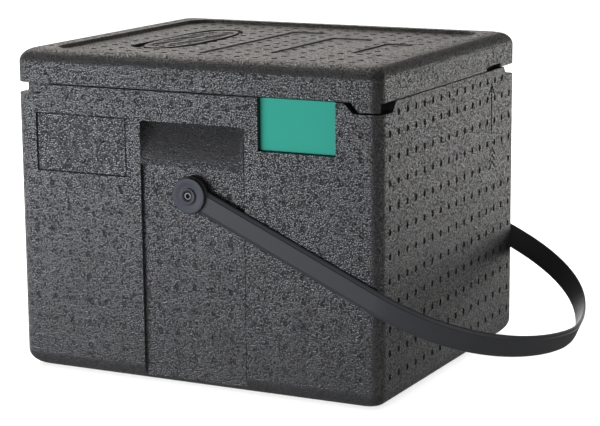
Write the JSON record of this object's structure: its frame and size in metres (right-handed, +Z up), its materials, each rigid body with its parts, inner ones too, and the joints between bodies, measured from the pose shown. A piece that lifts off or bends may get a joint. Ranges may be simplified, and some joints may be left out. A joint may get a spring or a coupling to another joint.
{
  "type": "insulated food carrier",
  "caption": "Top-loading bead-foam food carrier with a lift-off lid, a hand scoop in each long side and a wide carrying strap on side pivots.",
  "frame": {"origin": "centre of the underside, on the plane the box stands on", "axes": "+Z up; +X along the long side towards the end that the strap lies past; -Y out of the long side that carries the label fields"},
  "size_m": [0.518, 0.3464, 0.316],
  "materials": {
    "foam_body": "fine pebbled bead foam, anthracite",
    "foam_lid": "fine pebbled bead foam, anthracite",
    "strap_plastic": "satin black moulded plastic",
    "disc_plastic": "satin slate moulded plastic",
    "screw_steel": "bright steel",
    "nylon": "black nylon",
    "label_plastic": "smooth green plastic"
  },
  "bodies": {
    "box": {"body": "foam_body", "label_plate": "label_plastic", "pivot_disc_front": "disc_plastic", "pivot_disc_back": "disc_plastic", "collar_front": "disc_plastic", "collar_back": "disc_plastic", "screw_front": "screw_steel", "screw_back": "screw_steel", "strap_spacer_front": "nylon", "strap_spacer_back": "nylon", "flanged_sleeve_front": "nylon", "flanged_sleeve_back": "nylon"},
    "lid": {"lid": "foam_lid"},
    "strap": {"strap_handle": "strap_plastic"}
  },
  "joints": [
    {"name": "strap_hinge", "type": "hinge", "parent": "box", "child": "strap", "pos_m": [0, 0, 0.187], "axis": [0, -1, 0], "range_deg": [-4, 232]},
    {"name": "lid_lift", "type": "slide", "parent": "box", "child": "lid", "axis": [0, 0, 1], "range_m": [0, 0.33]}
  ]
}
